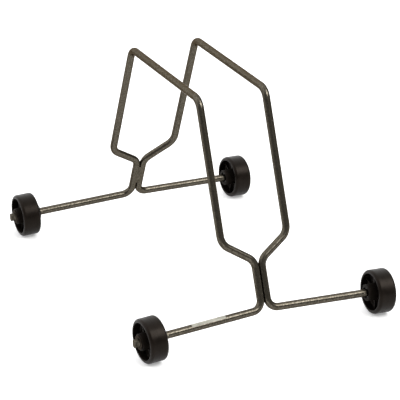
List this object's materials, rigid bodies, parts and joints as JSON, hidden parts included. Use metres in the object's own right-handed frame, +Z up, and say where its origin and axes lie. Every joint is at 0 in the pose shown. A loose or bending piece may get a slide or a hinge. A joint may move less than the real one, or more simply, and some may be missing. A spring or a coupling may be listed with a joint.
{
  "type": "bicycle display stand",
  "caption": "Low bicycle display stand of bent steel rod: a tyre drops into the slot between its mirrored sides, and plastic wheels on the rod ends let it roll.",
  "frame": {"origin": "on the floor, under the middle of the stand", "axes": "+X to the right across the tyre slot, +Y to the rear along the slot, +Z up"},
  "size_m": [0.3194, 0.409, 0.2548],
  "materials": {
    "frame_steel": "dark satin, lightly mottled",
    "weld": "rippled weld metal, same tone as the rods",
    "wheel_plastic": "satin black, moulded",
    "bush_plastic": "smooth black",
    "washer_steel": "dull plated",
    "label": "off-white film, blank"
  },
  "bodies": {
    "frame": {"left_frame_rod": "frame_steel", "right_frame_rod": "frame_steel", "front_weld_bead": "weld", "rear_weld_bead": "weld", "front_left_washer": "washer_steel", "front_right_washer": "washer_steel", "rear_left_washer": "washer_steel", "rear_right_washer": "washer_steel", "blank_label": "label"},
    "front_left_roller": {"front_left_wheel": "wheel_plastic", "front_left_bush": "bush_plastic"},
    "front_right_roller": {"front_right_wheel": "wheel_plastic", "front_right_bush": "bush_plastic"},
    "rear_left_roller": {"rear_left_wheel": "wheel_plastic", "rear_left_bush": "bush_plastic"},
    "rear_right_roller": {"rear_right_wheel": "wheel_plastic", "rear_right_bush": "bush_plastic"}
  },
  "joints": [
    {"name": "front_left_wheel_spin", "type": "hinge", "parent": "frame", "child": "front_left_roller", "pos_m": [-0.13963, -0.17926, 0.02527], "axis": [-0.9988, -0.0314, -0.0384], "continuous": true},
    {"name": "front_right_wheel_spin", "type": "hinge", "parent": "frame", "child": "front_right_roller", "pos_m": [0.13963, -0.17926, 0.02527], "axis": [0.9988, -0.0314, -0.0384], "continuous": true},
    {"name": "rear_left_wheel_spin", "type": "hinge", "parent": "frame", "child": "rear_left_roller", "pos_m": [-0.13963, 0.17926, 0.02527], "axis": [-0.9988, 0.0314, -0.0384], "continuous": true},
    {"name": "rear_right_wheel_spin", "type": "hinge", "parent": "frame", "child": "rear_right_roller", "pos_m": [0.13963, 0.17926, 0.02527], "axis": [0.9988, 0.0314, -0.0384], "continuous": true}
  ]
}
